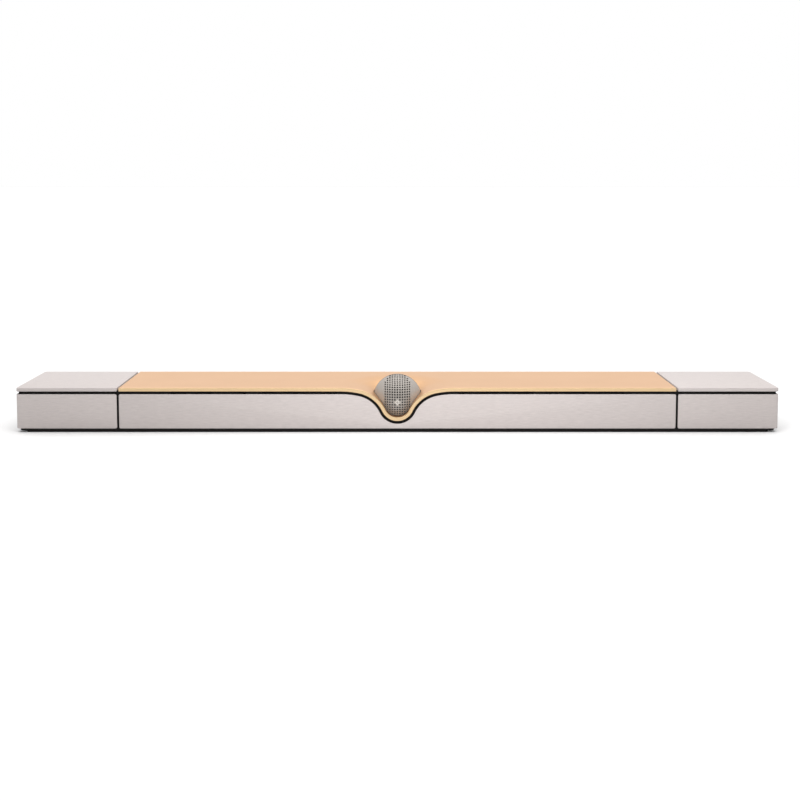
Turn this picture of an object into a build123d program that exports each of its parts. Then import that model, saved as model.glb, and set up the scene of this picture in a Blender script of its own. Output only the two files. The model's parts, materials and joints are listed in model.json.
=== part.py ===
from build123d import *
import math
import os

# A long low soundbar. Millimetres; X runs along the bar, -Y faces the listener, +Z is up.
# The origin is under the middle of the bar, on the surface that it stands on.

# Overall size and the stack of levels
LENGTH = 1200.0
DEPTH = 165.0
FOOT_HEIGHT = 3.0
BASE_THICKNESS = 2.6
GRILLE_BOTTOM = 5.8
GRILLE_TOP = 60.4
PLATE_BOTTOM = 64.7
PLATE_THICKNESS = 5.8
PLATE_TOP = PLATE_BOTTOM + PLATE_THICKNESS
PLATE_ROUNDING = 1.0

# Division into a centre section and two end sections
SEAM_X = 440.0
SEAM_GAP = 3.4
CORNER_RADIUS = 5.0
PANEL_CORNER = 2.5
PANEL_THICKNESS = 3.2
CLOTH_THICKNESS = 0.6
CENTRE_HALF = SEAM_X - SEAM_GAP / 2
END_START = SEAM_X + SEAM_GAP / 2
HALF_LENGTH = LENGTH / 2
HALF_DEPTH = DEPTH / 2

# The ball and the valley in the top plate that it sits in
BALL_RADIUS = 39.0
BALL_SHELL = 2.0
BALL_Y = -36.5
BALL_Z = 46.2
BALL_GAP = 1.0
VALLEY_RADIUS = 26.2
FLANK_ANGLE = math.radians(62.85)
FLANK_LENGTH = 3.03
FLANK_RADIUS = 51.9
SHOULDER_ANGLE = math.radians(12.42)
SHOULDER_RADIUS = 135.1
VALLEY_CENTRE_Z = (PLATE_BOTTOM - SHOULDER_RADIUS
                   + (VALLEY_RADIUS + FLANK_RADIUS) * math.cos(FLANK_ANGLE)
                   - FLANK_LENGTH * math.sin(FLANK_ANGLE)
                   + (SHOULDER_RADIUS - FLANK_RADIUS) * math.cos(SHOULDER_ANGLE))

# Black core inside the panels
WALL = 2.5
VALLEY_GAP = 0.3
CORE_HALF_DEPTH = HALF_DEPTH - PANEL_THICKNESS
CORE_CORNER = 3.2
CORE_BOTTOM = FOOT_HEIGHT + BASE_THICKNESS
CORE_TOP = PLATE_BOTTOM
RIB_XS = (-370.0, -82.0, 82.0, 370.0)
BOSS_RADIUS = 3.5
BOSS_TOP = 14.0

# Base
BASE_END_INSET = 5.0
BASE_SIDE_INSET = 2.0
BASE_CORNER = 4.0
FOOT_END_INSET = 14.5
FOOT_SIDE_INSET = 2.5
FOOT_WIDTH = 12.0
BASE_SCREW_XS = (90.0, 226.0, 364.0, 424.0, 450.0, 514.0, 588.0)
BASE_SCREW_Y = 73.5
MOUNT_X = 400.0
MOUNT_Y = 40.0
INSERT_RADIUS = 4.0
INSERT_BORE = 2.1
INSERT_HEIGHT = 8.0

# Woofers, back to back in two sealed boxes
SLOT_LENGTH = 120.0
WOOFER_XS = (155.0, 297.0)
WOOFER_FACE_TOP = 59.0
WOOFER_FACE_BOTTOM = 12.0
BOX_X = (84.5, 367.5)
BOX_HALF_DEPTH = 72.0
BOX_Z = (14.0, 57.0)

# Full-range drivers in the ends
FRONT_DRIVER_XS = (480.0, 548.0)
DRIVER_Z = 33.4
UP_DRIVER_X = 510.0
UP_DRIVER_Y = 20.0
DRIVER_PORT = 23.0

# Power supply and amplifier boards
TALL_BOARD_Z = 16.0

# Connector bay in the middle of the back
BAY_HALF_WIDTH = 72.0
BAY_Z = (14.0, 42.0)
BAY_WALL = 2.0
BAY_BACK_Y = 62.0
BOARD_Z = 11.0
BOARD_THICKNESS = 1.6
SOCKET_Z = BOARD_Z + BOARD_THICKNESS
BUTTON_X = 22.0
BUTTON_Z = 24.0
BUTTON_RADIUS = 3.0

os.makedirs("parts", exist_ok=True)


def save(name, *solids):
    """Write one node, made of one or more separate solids."""
    flat = [solid for group in solids for solid in group.solids()]
    shape = flat[0] if len(flat) == 1 else Compound(children=flat)
    export_step(shape, f"parts/{name}.step")


def block(x_range, y_range, z_range):
    """Box between two corners."""
    size = [high - low for low, high in (x_range, y_range, z_range)]
    low_corner = Location((x_range[0], y_range[0], z_range[0]))
    return low_corner * Box(*size, align=(Align.MIN, Align.MIN, Align.MIN))


def rod(radius, z_low, z_high, x=0.0, y=0.0):
    """Upright cylinder."""
    return Pos(x, y, z_low) * Cylinder(radius, z_high - z_low, align=(Align.CENTER, Align.CENTER, Align.MIN))


def lathe(points):
    """Turn a closed outline of (radius, height) points about Z."""
    outline = Plane.XZ * make_face(Polyline(*points, close=True))
    return revolve(outline, axis=Axis.Z)


def mirrored(shape):
    """The same piece on the other side of the bar."""
    return mirror(shape, about=Plane.YZ)


# ---------------------------------------------------------------- bell curve

def bell_edges(offset):
    """Right half of the valley curve, a fixed distance below the plate's underside.

    A hollow arc, a short straight flank and two rounded arcs run level into the flat plate.
    """
    hollow = VALLEY_RADIUS + offset
    flank = FLANK_RADIUS - offset
    shoulder = SHOULDER_RADIUS - offset

    def on_hollow(angle):
        return (hollow * math.sin(angle), VALLEY_CENTRE_Z - hollow * math.cos(angle))

    def on_round(centre, radius, angle):
        return (centre[0] - radius * math.sin(angle), centre[1] + radius * math.cos(angle))

    def centre_under(point, radius, angle):
        return (point[0] + radius * math.sin(angle), point[1] - radius * math.cos(angle))

    start = on_hollow(0)
    flank_low = on_hollow(FLANK_ANGLE)
    flank_high = (flank_low[0] + FLANK_LENGTH * math.cos(FLANK_ANGLE),
                  flank_low[1] + FLANK_LENGTH * math.sin(FLANK_ANGLE))
    flank_centre = centre_under(flank_high, flank, FLANK_ANGLE)
    join = on_round(flank_centre, flank, SHOULDER_ANGLE)
    shoulder_centre = centre_under(join, shoulder, SHOULDER_ANGLE)
    end = on_round(shoulder_centre, shoulder, 0)
    middle_angle = (FLANK_ANGLE + SHOULDER_ANGLE) / 2
    edges = [
        ThreePointArc(start, on_hollow(FLANK_ANGLE / 2), flank_low),
        Line(flank_low, flank_high),
        ThreePointArc(flank_high, on_round(flank_centre, flank, middle_angle), join),
        ThreePointArc(join, on_round(shoulder_centre, shoulder, SHOULDER_ANGLE / 2), end),
    ]
    return edges, start, end


def bell_both(offset):
    """The whole valley curve, as edges, with its right-hand end."""
    edges, _, end = bell_edges(offset)
    left = [mirror(edge, about=Plane.YZ) for edge in edges]
    return edges + left, end


def outline_solid(edges, y_front, y_back):
    """Extrude an outline drawn in (X, Z) from one depth to another."""
    face = Plane.XZ * make_face(edges)
    return Pos(0, y_back, 0) * extrude(face, y_back - y_front)


def valley_room(offset, y_front, y_back):
    """All the space above the valley curve, for cutting the curve into a wall."""
    edges, end = bell_both(offset)
    lid = end[1] + 40.0
    frame = Polyline((end[0], end[1]), (end[0], lid), (-end[0], lid), (-end[0], end[1]))
    return outline_solid(edges + [frame], y_front, y_back)


# ---------------------------------------------------------------- top plate

def ball_room(clearance):
    return Pos(0, BALL_Y, BALL_Z) * Sphere(BALL_RADIUS + clearance)


def on_rim(point):
    """True on the plate's front and back edges and on the upper edges of its two ends."""
    at_face = abs(abs(point.Y) - HALF_DEPTH) < 0.01 and abs(abs(point.X) - CENTRE_HALF) > 0.01
    at_end = abs(abs(point.X) - CENTRE_HALF) < 0.01 and abs(point.Z - PLATE_TOP) < 0.01
    return at_face or at_end


def make_top_plate():
    """Flat plate that dips round the ball: a straight trough in front, a round funnel behind."""
    under, under_end = bell_both(0.0)
    over, over_end = bell_both(-PLATE_THICKNESS)
    valley_half = under_end[0]
    side = []
    for sign in (-1, 1):
        side.append(Polyline((sign * valley_half, PLATE_BOTTOM),
                             (sign * CENTRE_HALF, PLATE_BOTTOM),
                             (sign * CENTRE_HALF, PLATE_TOP),
                             (sign * valley_half, PLATE_TOP)))
    front = outline_solid(under + over + side, -HALF_DEPTH, BALL_Y)

    under_half, under_low, _ = bell_edges(0.0)
    over_half, over_low, _ = bell_edges(-PLATE_THICKNESS)
    rim = [Line(under_low, over_low), Line(under_end, over_end)]
    band = Plane.XZ * make_face(under_half + over_half + rim)
    funnel = Pos(0, BALL_Y, 0) * revolve(band, axis=Axis.Z, revolution_arc=180)

    back = block((-CENTRE_HALF, CENTRE_HALF), (BALL_Y, HALF_DEPTH), (PLATE_BOTTOM, PLATE_TOP))
    back -= rod(valley_half, PLATE_BOTTOM, PLATE_TOP, y=BALL_Y)
    plate = front + back + funnel
    plate -= ball_room(BALL_GAP)
    rims = plate.edges().filter_by(lambda edge: on_rim(edge.center()))
    return fillet(rims, PLATE_ROUNDING)


save("top_plate", make_top_plate())


# ---------------------------------------------------------------- centre grille

def centre_outline(inset):
    """Front outline of the centre grille, drawn a fixed distance inside its edge."""
    offset = PLATE_BOTTOM - GRILLE_TOP + inset
    edges, end = bell_both(offset)
    half = CENTRE_HALF - inset
    low = GRILLE_BOTTOM + inset
    corner = PANEL_CORNER - inset
    frame = FilletPolyline((end[0], end[1]), (half, end[1]), (half, low), (-half, low),
                           (-half, end[1]), (-end[0], end[1]), radius=corner)
    return edges + [frame]


FACE_Y = -HALF_DEPTH
CLOTH_BACK_Y = FACE_Y + CLOTH_THICKNESS
PANEL_BACK_Y = FACE_Y + PANEL_THICKNESS
BASS_SLOT_Z = (7.6, 11.6)


def bass_windows(y_range):
    """Low openings that let the lower woofers sound through the panel frame."""
    cuts = []
    for x in WOOFER_XS:
        x_range = (x - SLOT_LENGTH / 2, x + SLOT_LENGTH / 2)
        cuts.append(block(x_range, y_range, BASS_SLOT_Z))
    return cuts


panel = outline_solid(centre_outline(0.0), FACE_Y, PANEL_BACK_Y)
filled_frame = outline_solid(centre_outline(CLOTH_THICKNESS), CLOTH_BACK_Y, PANEL_BACK_Y)
save("centre_grille_cloth", panel - filled_frame)
openings = bass_windows((CLOTH_BACK_Y - 1, PANEL_BACK_Y + 1))
save("centre_grille_frame", filled_frame - openings - [mirrored(cut) for cut in openings])


# ---------------------------------------------------------------- end grilles and end tops

def end_plan(inset, z_low, z_high, start=END_START, corner=None):
    """Solid of an end section's plan shape, rounded at the two outer corners."""
    half = HALF_DEPTH - inset
    end = HALF_LENGTH - inset
    corner = corner or CORNER_RADIUS - inset
    outline = FilletPolyline((start, -half), (end, -half), (end, half), (start, half), radius=corner)
    closing = Line((start, half), (start, -half))
    return Pos(0, 0, z_low) * extrude(make_face([outline, closing]), z_high - z_low)


def end_grille():
    """U-shaped grille of one end: cloth drawn over a moulded frame."""
    inner = end_plan(PANEL_THICKNESS, GRILLE_BOTTOM - 1, GRILLE_TOP + 1, END_START - 1)
    outer = end_plan(0.0, GRILLE_BOTTOM, GRILLE_TOP) - inner
    core = end_plan(CLOTH_THICKNESS, GRILLE_BOTTOM + CLOTH_THICKNESS, GRILLE_TOP - CLOTH_THICKNESS,
                    END_START + CLOTH_THICKNESS)
    core -= inner
    cloth = outer - core
    port = Cylinder(DRIVER_PORT, 4 * PANEL_THICKNESS)
    for x in FRONT_DRIVER_XS:
        core -= Pos(x, PANEL_BACK_Y, DRIVER_Z) * Rot(90, 0, 0) * port
    core -= Pos(HALF_LENGTH - PANEL_THICKNESS, 0, DRIVER_Z) * Rot(0, 90, 0) * port
    return cloth, core


def end_top():
    """Top panel of one end: cloth drawn over a moulded plate with a sound opening."""
    outer = end_plan(0.0, PLATE_BOTTOM, PLATE_TOP)
    core = end_plan(CLOTH_THICKNESS, PLATE_BOTTOM, PLATE_TOP - CLOTH_THICKNESS,
                    END_START + CLOTH_THICKNESS)
    opening = rod(DRIVER_PORT, PLATE_BOTTOM - 1, PLATE_TOP - CLOTH_THICKNESS, UP_DRIVER_X, UP_DRIVER_Y)
    return outer - core, core - opening


grille_cloth, grille_frame = end_grille()
top_cloth, top_frame = end_top()
save("right_grille_cloth", grille_cloth)
save("right_grille_frame", grille_frame)
save("right_top_cloth", top_cloth)
save("right_top_frame", top_frame)
save("left_grille_cloth", mirrored(grille_cloth))
save("left_grille_frame", mirrored(grille_frame))
save("left_top_cloth", mirrored(top_cloth))
save("left_top_frame", mirrored(top_frame))


# ---------------------------------------------------------------- base, feet, screws, inserts

def both_ways(xs, ys):
    """Every point with each mix of signs."""
    return [(sx * x, sy * y) for x in xs for y in ys for sx in (-1, 1) for sy in (-1, 1)]


POST_RADIUS = 3.0
POSTS = (
    (TALL_BOARD_Z, both_ways((380.0, 428.0), (58.0,))),
    (BOX_Z[0], both_ways((90.0, 362.0), (60.0,))),
    (BOARD_Z, [(-64.0, 24.0), (64.0, 24.0), (-64.0, 54.0), (64.0, 54.0)]),
)
SCREW_SPOTS = both_ways(BASE_SCREW_XS, (BASE_SCREW_Y,))
MOUNT_SPOTS = both_ways((MOUNT_X,), (MOUNT_Y,))
SCREW_HEAD = 3.0
SCREW_SHANK = 1.4
SCREW_HEAD_HEIGHT = 1.6
SCREW_LENGTH = 9.0


def base_screw(x, y):
    outline = [(0, 0), (SCREW_HEAD, 0), (SCREW_SHANK, SCREW_HEAD_HEIGHT),
               (SCREW_SHANK, SCREW_LENGTH), (0, SCREW_LENGTH)]
    driver_slot = rod(1.2, -1.0, 0.7)
    return Pos(x, y, FOOT_HEIGHT) * (lathe(outline) - driver_slot)


def make_base():
    """Flat sheet that closes the underside, with its screw holes and the posts for what stands on it."""
    length = LENGTH - 2 * BASE_END_INSET
    depth = DEPTH - 2 * BASE_SIDE_INSET
    plate = Pos(0, 0, FOOT_HEIGHT) * extrude(RectangleRounded(length, depth, BASE_CORNER), BASE_THICKNESS)
    for x, y in SCREW_SPOTS:
        cone = [(0, 0), (SCREW_HEAD, 0), (SCREW_SHANK, SCREW_HEAD_HEIGHT),
                (SCREW_SHANK, BASE_THICKNESS), (0, BASE_THICKNESS)]
        plate -= Pos(x, y, FOOT_HEIGHT) * lathe(cone)
    for x, y in MOUNT_SPOTS:
        plate -= rod(INSERT_RADIUS, FOOT_HEIGHT, CORE_BOTTOM, x, y)
    for top, spots in POSTS:
        for x, y in spots:
            plate += rod(POST_RADIUS, CORE_BOTTOM - 1, top, x, y)
    return plate


def make_feet():
    """Two long rubber strips, which also hide the base screws."""
    length = LENGTH - 2 * FOOT_END_INSET
    y = HALF_DEPTH - FOOT_SIDE_INSET - FOOT_WIDTH / 2
    strip = extrude(RectangleRounded(length, FOOT_WIDTH, FOOT_WIDTH / 2 - 0.5), FOOT_HEIGHT)
    return [Pos(0, -y, 0) * strip, Pos(0, y, 0) * strip]


def wall_insert(x, y):
    ring = rod(INSERT_RADIUS, FOOT_HEIGHT, FOOT_HEIGHT + INSERT_HEIGHT, x, y)
    return ring - rod(INSERT_BORE, FOOT_HEIGHT - 1, FOOT_HEIGHT + INSERT_HEIGHT + 1, x, y)


save("base_plate", make_base())
save("foot_runners", *make_feet())
save("wall_inserts", *[wall_insert(x, y) for x, y in MOUNT_SPOTS])


# ---------------------------------------------------------------- chassis and end housings

REAR_Y = (HALF_DEPTH - PANEL_THICKNESS, HALF_DEPTH)
REAR_TOP = PLATE_BOTTOM - 1.0
REAR_SCREW_XS = (60.0, 90.0, 226.0, 425.0)
REAR_SCREW_SPOTS = [(sx * x, z) for x in REAR_SCREW_XS for sx in (-1, 1) for z in (10.0, 57.5)]
REAR_SCREW_HEAD = 3.0
REAR_SCREW_LENGTH = 6.0


def rear_screw_hole(x, z):
    """Countersink and clearance hole, seen from behind."""
    head = Cylinder(REAR_SCREW_HEAD, 3.0)
    shank = Cylinder(SCREW_SHANK, 2 * REAR_SCREW_LENGTH)
    return Pos(x, REAR_Y[1], z) * Rot(90, 0, 0) * (head + shank)


SLOT_HEIGHT = 2.2
LOW_SLOT_Z = 8.5
HIGH_SLOT_Z = 60.6
CABLE_NOTCH_HALF = 12.0
CABLE_NOTCH_DEPTH = 14.0


def slots(xs, y_range):
    """Long slots level with the woofers' faces that let the bass out of a wall."""
    cuts = []
    for x in xs:
        for z in (LOW_SLOT_Z, HIGH_SLOT_Z):
            cuts.append(block((x - SLOT_LENGTH / 2, x + SLOT_LENGTH / 2), y_range, (z, z + SLOT_HEIGHT)))
    return cuts


def make_chassis():
    """Moulded frame of the centre section, open above and below, with four cross ribs."""
    depth = CORE_HALF_DEPTH
    half = SEAM_X
    frame = block((-half, half), (-depth, depth), (CORE_BOTTOM, CORE_TOP))
    frame -= block((-half + WALL, half - WALL), (-depth + WALL, depth - WALL), (CORE_BOTTOM - 1, CORE_TOP + 1))
    for x in RIB_XS:
        rib = block((x - WALL / 2, x + WALL / 2), (-depth + WALL, depth - WALL), (CORE_BOTTOM, CORE_TOP - 2))
        rib -= block((x - WALL, x + WALL), (-CABLE_NOTCH_HALF, CABLE_NOTCH_HALF),
                     (CORE_TOP - CABLE_NOTCH_DEPTH, CORE_TOP))
        frame += rib
    for x, y in SCREW_SPOTS:
        if abs(x) < half:
            frame += rod(BOSS_RADIUS, CORE_BOTTOM, BOSS_TOP, x, y)
            frame -= rod(SCREW_SHANK, CORE_BOTTOM - 1, BOSS_TOP - 1, x, y)
    for x, y in MOUNT_SPOTS:
        frame += rod(INSERT_RADIUS + WALL, CORE_BOTTOM, FOOT_HEIGHT + INSERT_HEIGHT, x, y)
        frame += block((x - 1, x + 1), (min(y, math.copysign(depth, y)), max(y, math.copysign(depth, y))),
                       (CORE_BOTTOM, FOOT_HEIGHT + INSERT_HEIGHT))
        frame -= rod(INSERT_RADIUS, CORE_BOTTOM - 1, BOSS_TOP, x, y)
    frame -= valley_room(VALLEY_GAP, -depth - 1, -depth + WALL + 1)
    woofer_xs = [sign * x for x in WOOFER_XS for sign in (-1, 1)]
    for y_range in ((-depth - 1, -depth + WALL + 1), (depth - WALL - 1, depth + 1)):
        frame -= slots(woofer_xs, y_range)
    bay = BAY_HALF_WIDTH + BAY_WALL
    frame -= block((-bay, bay), (depth - WALL - 1, depth + 1), (BAY_Z[0] - BAY_WALL, BAY_Z[1] + BAY_WALL))
    frame -= [rear_screw_hole(x, z) for x, z in REAR_SCREW_SPOTS]
    return frame


def make_housing():
    """Moulded box of one end section, open below, with a port for each driver."""
    outer = end_plan(PANEL_THICKNESS, CORE_BOTTOM, CORE_TOP, SEAM_X, CORE_CORNER)
    inner = end_plan(PANEL_THICKNESS + WALL, CORE_BOTTOM - 1, CORE_TOP - WALL, SEAM_X + WALL,
                     CORE_CORNER - WALL)
    housing = outer - inner
    front_port = Pos(0, -CORE_HALF_DEPTH + WALL, 0) * Rot(90, 0, 0) * Cylinder(DRIVER_PORT, 4 * WALL)
    for x in FRONT_DRIVER_XS:
        housing -= Pos(x, 0, DRIVER_Z) * front_port
    side_wall = HALF_LENGTH - PANEL_THICKNESS
    housing -= Pos(side_wall, 0, DRIVER_Z) * Rot(0, 90, 0) * Cylinder(DRIVER_PORT, 4 * WALL)
    housing -= rod(DRIVER_PORT, CORE_TOP - 2 * WALL, CORE_TOP + 1, UP_DRIVER_X, UP_DRIVER_Y)
    for x, y in SCREW_SPOTS:
        if x > SEAM_X:
            housing += rod(BOSS_RADIUS, CORE_BOTTOM, BOSS_TOP, x, y)
            housing -= rod(SCREW_SHANK, CORE_BOTTOM - 1, BOSS_TOP - 1, x, y)
    return housing


save("centre_chassis", make_chassis())
housing = make_housing()
save("right_housing", housing)
save("left_housing", mirrored(housing))


# ---------------------------------------------------------------- rear panel and connector bay

VENT_WIDTH = 3.0
VENT_PITCH = 8.0
VENT_Z = (16.0, 52.0)
VENT_START = 110.0
VENT_COUNT = 31
BAY_FLANGE_HALF = 79.75
REAR_WING_START = 80.25


def rear_plate(x_low, x_high):
    """Flat back of the centre section between two places along the bar."""
    outline = Plane.XZ * Pos(0, (GRILLE_BOTTOM + REAR_TOP) / 2) * RectangleRounded(
        2 * CENTRE_HALF, REAR_TOP - GRILLE_BOTTOM, PANEL_CORNER)
    plate = Pos(0, REAR_Y[1], 0) * extrude(outline, PANEL_THICKNESS)
    plate &= block((x_low, x_high), REAR_Y, (GRILLE_BOTTOM, REAR_TOP))
    return plate - [rear_screw_hole(x, z) for x, z in REAR_SCREW_SPOTS]


def make_rear_panel():
    """Right-hand half of the back, with a row of cooling slots."""
    through = (REAR_Y[0] - 1, REAR_Y[1] + 1)
    panel = rear_plate(REAR_WING_START, CENTRE_HALF)
    for index in range(VENT_COUNT):
        x = VENT_START + index * VENT_PITCH
        panel -= block((x - VENT_WIDTH / 2, x + VENT_WIDTH / 2), through, VENT_Z)
    return panel


def rear_screw(x, z):
    head = Cylinder(REAR_SCREW_HEAD - 0.1, 1.4, align=(Align.CENTER, Align.CENTER, Align.MIN))
    shank = Cylinder(SCREW_SHANK, REAR_SCREW_LENGTH - 0.2, align=(Align.CENTER, Align.CENTER, Align.MIN))
    recess = Cylinder(1.2, 1.4)
    screw = head + shank - recess
    return Pos(x, REAR_Y[1] - 0.1, z) * Rot(90, 0, 0) * screw


wing = make_rear_panel()
save("rear_panels", wing, mirrored(wing))
screws = [base_screw(x, y) for x, y in SCREW_SPOTS]
screws += [rear_screw(x, z) for x, z in REAR_SCREW_SPOTS]
save("case_screws", *screws)


# Sockets: each is (name, centre x, outer width, outer height, opening width, opening height)
SOCKETS = (
    ("video_socket", -52.0, 16.0, 7.0, 14.2, 4.8),
    ("optical_socket", -27.0, 11.0, 11.0, 8.6, 8.6),
    ("network_socket", -4.0, 16.0, 14.0, 12.0, 9.0),
)
SOCKET_BACK_Y = 46.0
SOCKET_FACE_Y = BAY_BACK_Y + 0.6
SOCKET_WALL_GAP = 0.1
INLET_X = 48.0
INLET_Z = 26.0
INLET_WIDTH = 24.0
INLET_HEIGHT = 15.0


def make_socket(x, width, height, open_width, open_height):
    """Box-shaped connector with an open mouth facing backwards."""
    middle = SOCKET_Z + height / 2
    body = block((x - width / 2, x + width / 2), (SOCKET_BACK_Y, SOCKET_FACE_Y), (SOCKET_Z, SOCKET_Z + height))
    mouth = block((x - open_width / 2, x + open_width / 2), (SOCKET_BACK_Y + 2, SOCKET_FACE_Y + 1),
                  (middle - open_height / 2, middle + open_height / 2))
    return body - mouth


def make_inlet():
    """Two-pin mains inlet."""
    body = block((INLET_X - INLET_WIDTH / 2, INLET_X + INLET_WIDTH / 2), (SOCKET_BACK_Y, SOCKET_FACE_Y),
                 (INLET_Z - INLET_HEIGHT / 2, INLET_Z + INLET_HEIGHT / 2))
    hollow = extrude(Plane.XZ * RectangleRounded(18.0, 9.0, 4.4), 14.0)
    body -= Pos(INLET_X, SOCKET_FACE_Y + 1, INLET_Z) * hollow
    pin = Rot(90, 0, 0) * Cylinder(1.15, 12.0, align=(Align.CENTER, Align.CENTER, Align.MIN))
    for side in (-1, 1):
        body += Pos(INLET_X + side * 4.3, SOCKET_FACE_Y - 1.5, INLET_Z) * pin
    return body


def make_bay():
    """Moulded cup with a flange, let into the back, with a cut-out for each socket and the button."""
    wide = BAY_HALF_WIDTH + BAY_WALL
    cup = block((-wide, wide), (BAY_BACK_Y - BAY_WALL, REAR_Y[0]), (BAY_Z[0] - BAY_WALL, BAY_Z[1] + BAY_WALL))
    cup += rear_plate(-BAY_FLANGE_HALF, BAY_FLANGE_HALF)
    cup -= block((-BAY_HALF_WIDTH, BAY_HALF_WIDTH), (BAY_BACK_Y, REAR_Y[1] + 1), BAY_Z)
    through = (BAY_BACK_Y - BAY_WALL - 1, BAY_BACK_Y + 1)
    for _, x, width, height, _, _ in SOCKETS:
        half = width / 2 + SOCKET_WALL_GAP
        cup -= block((x - half, x + half), through, (SOCKET_Z, SOCKET_Z + height + SOCKET_WALL_GAP))
    half = INLET_WIDTH / 2 + SOCKET_WALL_GAP
    tall = INLET_HEIGHT / 2 + SOCKET_WALL_GAP
    cup -= block((INLET_X - half, INLET_X + half), through, (INLET_Z - tall, INLET_Z + tall))
    cup -= Pos(BUTTON_X, BAY_BACK_Y, BUTTON_Z) * Rot(90, 0, 0) * Cylinder(BUTTON_RADIUS + 0.3, 8.0)
    return cup


def make_button():
    """Small round push button; its collar behind the wall stops it falling out."""
    cap = Cylinder(BUTTON_RADIUS, 5.0, align=(Align.CENTER, Align.CENTER, Align.MIN))
    collar = Cylinder(BUTTON_RADIUS + 1.0, 1.0, align=(Align.CENTER, Align.CENTER, Align.MIN))
    return Pos(BUTTON_X, BAY_BACK_Y + 1.6, BUTTON_Z) * Rot(90, 0, 0) * (cap + Pos(0, 0, 3.7) * collar)


for name, x, width, height, open_width, open_height in SOCKETS:
    save(name, make_socket(x, width, height, open_width, open_height))
save("power_inlet", make_inlet())
save("connector_bay", make_bay())
save("setup_button", make_button())


# ---------------------------------------------------------------- loudspeaker drivers

class DriverSize:
    """Radii and depths of one loudspeaker driver; its face is at zero and it points up."""

    def __init__(self, flange, cone, roll, motor, coil, dish, floor, depth, coil_low):
        self.flange = flange
        self.cone = cone
        self.roll = roll
        self.motor = motor
        self.coil = coil
        self.dish = dish
        self.floor = floor
        self.depth = depth
        self.coil_low = coil_low


WOOFER = DriverSize(flange=67.0, cone=48.5, roll=3.5, motor=35.0, coil=19.0, dish=5.5,
                    floor=13.0, depth=22.5, coil_low=17.2)
FULL_RANGE = DriverSize(flange=26.0, cone=19.5, roll=2.0, motor=15.0, coil=10.0, dish=4.5,
                        floor=9.0, depth=22.0, coil_low=14.0)
FLANGE_THICKNESS = 1.5
SEAT_SHARE = 0.86
SHEET = 1.0
ROLL_SKIN = 0.6
COIL_HALF = 0.5
COIL_AIR = 1.2


def driver_basket(size):
    """Pressed frame: a flange, a sloping skirt and a floor ring."""
    throat = size.cone + 2 * size.roll - ROLL_SKIN
    seat = size.cone * SEAT_SHARE
    hole = size.coil + COIL_HALF + COIL_AIR
    return lathe([
        (size.flange, 0), (size.flange, -FLANGE_THICKNESS), (throat + SHEET, -FLANGE_THICKNESS),
        (seat + SHEET, -size.floor - SHEET), (hole, -size.floor - SHEET), (hole, -size.floor),
        (seat, -size.floor), (throat, -FLANGE_THICKNESS), (throat, 0),
    ])


def driver_magnet(size):
    """Motor: a round block with a ring-shaped slot for the voice coil."""
    top = -size.floor - SHEET
    slot_low = -size.coil_low - 4.3
    motor = rod(size.motor, -size.depth, top)
    slot = rod(size.coil + COIL_HALF + COIL_AIR, slot_low, top) - rod(size.coil - COIL_HALF - COIL_AIR, slot_low, top)
    return motor - slot


def driver_cone(size):
    """Dished cone with a dust cap and the voice coil's tube."""
    rim = size.cone
    inner = size.coil - COIL_HALF
    outer = size.coil + COIL_HALF
    cap = size.dish * 0.45
    return lathe([
        (0, -cap), (inner, -size.dish), (rim - SHEET, 0), (rim, 0), (rim, -SHEET), (rim - SHEET, -SHEET),
        (outer, -size.dish - SHEET), (outer, -size.coil_low), (inner, -size.coil_low),
        (inner, -size.dish - SHEET), (0, -cap - SHEET),
    ])


def driver_surround(size):
    """Half-round rubber roll from the cone's rim to the flange."""
    middle = size.cone + size.roll - ROLL_SKIN
    outer = Circle(size.roll) - Circle(size.roll - ROLL_SKIN)
    half = outer & Pos(0, size.roll) * Rectangle(4 * size.roll, 2 * size.roll)
    return revolve(Plane.XZ * Pos(middle, 0) * half, axis=Axis.Z)


class Driver:
    """The four pieces of one driver, at one place."""

    def __init__(self, size, place):
        self.basket = place * driver_basket(size)
        self.magnet = place * driver_magnet(size)
        self.cone = place * driver_cone(size)
        self.surround = place * driver_surround(size)


FACING_UP = Rot(0, 0, 0)
FACING_DOWN = Rot(180, 0, 0)
FACING_FRONT = Rot(90, 0, 0)
FACING_RIGHT = Rot(0, 90, 0)
FACING_LEFT = Rot(0, -90, 0)
FRONT_FACE_Y = -CORE_HALF_DEPTH + WALL
SIDE_FACE_X = HALF_LENGTH - PANEL_THICKNESS - WALL
UP_FACE_Z = CORE_TOP - WALL

full_range = {}
for side, sign, outward in (("left", -1, FACING_LEFT), ("right", 1, FACING_RIGHT)):
    for spot, x in zip(("inner", "outer"), FRONT_DRIVER_XS):
        full_range[f"{side}_front_{spot}_cone"] = Driver(
            FULL_RANGE, Pos(sign * x, FRONT_FACE_Y, DRIVER_Z) * FACING_FRONT)
    full_range[f"{side}_side_cone"] = Driver(FULL_RANGE, Pos(sign * SIDE_FACE_X, 0, DRIVER_Z) * outward)
    full_range[f"{side}_up_cone"] = Driver(
        FULL_RANGE, Pos(sign * UP_DRIVER_X, UP_DRIVER_Y, UP_FACE_Z) * FACING_UP)

for name, driver in full_range.items():
    save(name, driver.cone)
save("full_range_baskets", *[driver.basket for driver in full_range.values()])
save("full_range_magnets", *[driver.magnet for driver in full_range.values()])
save("full_range_surrounds", *[driver.surround for driver in full_range.values()])

woofers = {}
for side, sign in (("left", -1), ("right", 1)):
    for level, z, facing in (("upper", WOOFER_FACE_TOP, FACING_UP), ("lower", WOOFER_FACE_BOTTOM, FACING_DOWN)):
        woofers[f"{side}_{level}_woofer_cones"] = [
            Driver(WOOFER, Pos(sign * x, 0, z) * facing) for x in WOOFER_XS]

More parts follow.
